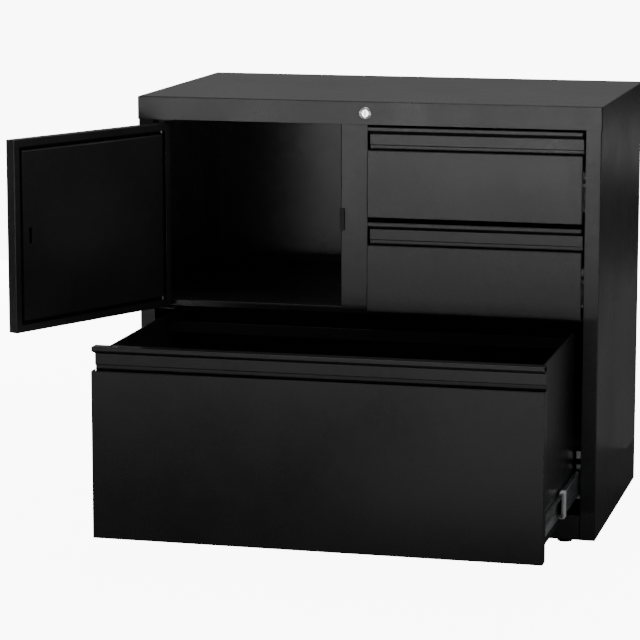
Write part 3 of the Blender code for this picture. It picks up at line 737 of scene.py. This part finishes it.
def backRivets():
    low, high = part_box("back_panel")
    marks = []
    count = int((high.z - low.z - 0.08) / rivet["pitch"])
    for i in range(count + 1):
        z = low.z + 0.030 + (high.z - low.z - 0.085) * i / count
        for x in (low.x + rivet["inset"], high.x - rivet["inset"]):
            marks.append(((x, high.y, z), (0, 1, 0)))
    for i in range(1, 9):
        x = low.x + (high.x - low.x) * i / 9
        marks.append(((x, high.y, low.z + rivet["inset"] + 0.002), (0, 1, 0)))
        marks.append(((x, high.y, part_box("middle_shelf")[0].z + 0.0052), (0, 1, 0)))
    scatter("back_rivets", rivetMesh(), marks, coat, "cabinet")


def tubDetails(drawer):
    low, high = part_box(f"{drawer}_tub")
    body = f"{drawer}_drawer"
    steel = sheet["thickness"]
    for label, x, sign in (("left", low.x + steel, 1), ("right", high.x - steel, -1)):
        path = [(high.z - rim["drop"], x + sign * rim["away"]), (high.z - 0.0006, x + sign * rim["away"]),
                (high.z - 0.0006, x - sign * 0.0003)]
        foldedStrip(f"{drawer}_{label}_rim", path, "Y", low.y + 0.0015, high.y - 0.0015, rim["steel"],
                    coat, body, 0.0003)
    inside = []
    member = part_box(f"{drawer}_left_slide_drawer_member")
    z = (member[0].z + member[1].z) / 2
    for i in range(4):
        y = low.y + 0.045 + (high.y - low.y - 0.09) * i / 3
        inside.append(((low.x + steel, y, z), (1, 0, 0)))
        inside.append(((high.x - steel, y, z), (-1, 0, 0)))
    columns = 5 if drawer == "file" else 3
    for i in range(columns):
        across = (high.x - low.x) * (i + 0.5) / columns
        for lift in (0.030, (high.z - low.z) * 0.62):
            inside.append(((low.x + across, low.y + steel, low.z + lift), (0, 1, 0)))
    scatter(f"{drawer}_tub_screws", screwMesh(), inside, zincSteel, body)


backRivets()
for drawer in ("file", "upper_box", "lower_box"):
    tubDetails(drawer)
print("rivets, screws and rims placed")


# studio
studio = {"floorSize": 40.0, "floorSeen": 1.0, "floorFelt": 0.10, "glow": 9.0,
          "skySeen": 10.0, "skyFelt": 0.2}


def makeStage():
    material, tree = newMaterial("paleFloor")
    seen = addNode(tree, "ShaderNodeLightPath").outputs["Is Camera Ray"]
    felt = addNode(tree, "ShaderNodeBsdfDiffuse", {"Color": (*[studio["floorFelt"]] * 3, 1.0)})
    shown = addNode(tree, "ShaderNodeBsdfDiffuse", {"Color": (*[studio["floorSeen"]] * 3, 1.0)})
    glow = addNode(tree, "ShaderNodeEmission", {"Strength": studio["glow"]})
    bright = addNode(tree, "ShaderNodeAddShader")
    tree.links.new(shown.outputs[0], bright.inputs[0])
    tree.links.new(glow.outputs[0], bright.inputs[1])
    mix = addNode(tree, "ShaderNodeMixShader", {"Fac": seen})
    tree.links.new(felt.outputs[0], mix.inputs[1])
    tree.links.new(bright.outputs[0], mix.inputs[2])
    finishMaterial(tree, mix)
    half = studio["floorSize"] / 2
    bm = bmesh.new()
    bmesh.ops.create_grid(bm, x_segments=1, y_segments=1, size=half)
    floor = addObject("floor", meshFrom("floor", bm))
    floor.data.materials.append(material)
    world = bpy.data.worlds.new("studioRoom")
    world.use_nodes = True
    sky = world.node_tree
    sky.nodes.clear()
    looked = addNode(sky, "ShaderNodeLightPath").outputs["Is Camera Ray"]
    room = addNode(sky, "ShaderNodeBackground", {"Strength": studio["skyFelt"]})
    paper = addNode(sky, "ShaderNodeBackground", {"Strength": studio["skySeen"]})
    both = addNode(sky, "ShaderNodeMixShader", {"Fac": looked})
    sky.links.new(room.outputs[0], both.inputs[1])
    sky.links.new(paper.outputs[0], both.inputs[2])
    addNode(sky, "ShaderNodeOutputWorld", {"Surface": both.outputs[0]})
    bpy.context.scene.world = world


def softBox(name, spot, aim, size, power):
    light = bpy.data.lights.new(name, "AREA")
    light.shape = "RECTANGLE"
    light.size, light.size_y = size
    light.energy = power
    holder = bpy.data.objects.new(name, light)
    bpy.context.scene.collection.objects.link(holder)
    holder.location = spot
    holder.rotation_euler = (Vector(aim) - Vector(spot)).to_track_quat("-Z", "Y").to_euler()
    holder.visible_camera = False


lights = {
    "overhead": {"spot": (0.2, -0.3, 3.2), "aim": (0.1, 0.0, 0.4), "size": (2.6, 2.6), "power": 40.0},
    "lowFront": {"spot": (-0.6, -4.2, 0.02), "aim": (-0.6, -4.1, 3.0), "size": (3.2, 2.2), "power": 50.0},
    "lowFar": {"spot": (-1.6, -7.3, 0.02), "aim": (-1.6, -7.2, 3.0), "size": (4.8, 3.4), "power": 720.0},
    "nearFloor": {"spot": (0.6, -1.5, 0.02), "aim": (0.6, -1.4, 3.0), "size": (1.2, 1.2), "power": 2.2},
    "nearRight": {"spot": (1.0, 2.3, 0.02), "aim": (1.0, 2.4, 3.0), "size": (1.6, 4.0), "power": 1.1},
    "farRight": {"spot": (1.4, 6.2, 0.02), "aim": (1.4, 6.3, 3.0), "size": (1.8, 3.6), "power": 4.9},
    "farTop": {"spot": (-1.3, 4.5, 1.7), "aim": (0.0, 0.2, 0.7), "size": (3.2, 0.8), "power": 0.9},
    "highBack": {"spot": (-0.2, 3.4, 2.3), "aim": (0.0, 0.0, 0.7), "size": (3.4, 1.3), "power": 2.0},
    "rightSide": {"spot": (3.4, -1.6, 1.8), "aim": (0.2, 0.0, 0.4), "size": (1.4, 1.8), "power": 9.0},
    "lowRight": {"spot": (2.4, -0.8, 0.02), "aim": (2.4, -0.7, 3.0), "size": (2.2, 2.4), "power": 26.0},
    "lowLeft": {"spot": (-2.2, 0.5, 0.02), "aim": (-2.2, 0.6, 3.0), "size": (2.0, 1.6), "power": 40.0},
    "lowBack": {"spot": (-1.3, 2.3, 0.02), "aim": (-1.3, 2.4, 3.0), "size": (3.0, 2.6), "power": 55.0},
    "backCard": {"spot": (-1.2, 2.8, 0.35), "aim": (-0.1, 0.4, 0.35), "size": (3.0, 0.66), "power": 55.0},
    "leftCard": {"spot": (-2.7, 1.1, 0.35), "aim": (-0.3, 0.1, 0.35), "size": (2.0, 0.66), "power": 50.0},
}
view = {"spot": (1.0777, -4.4830, 1.1404), "turn": -13.888, "tilt": -9.805, "roll": 0.036, "lens": 160.07}


def makeCamera():
    camera = bpy.data.cameras.new("viewCamera")
    camera.lens = view["lens"]
    camera.sensor_width = 36.0
    holder = bpy.data.objects.new("viewCamera", camera)
    bpy.context.scene.collection.objects.link(holder)
    turn = Matrix.Rotation(math.radians(-view["turn"]), 4, "Z")
    tilt = Matrix.Rotation(math.radians(90 + view["tilt"]), 4, "X")
    roll = Matrix.Rotation(math.radians(view["roll"]), 4, "Z")
    holder.matrix_world = Matrix.Translation(view["spot"]) @ turn @ tilt @ roll
    bpy.context.scene.camera = holder


makeStage()
for name, light in lights.items():
    softBox(name, **light)
makeCamera()
print("studio and camera set")
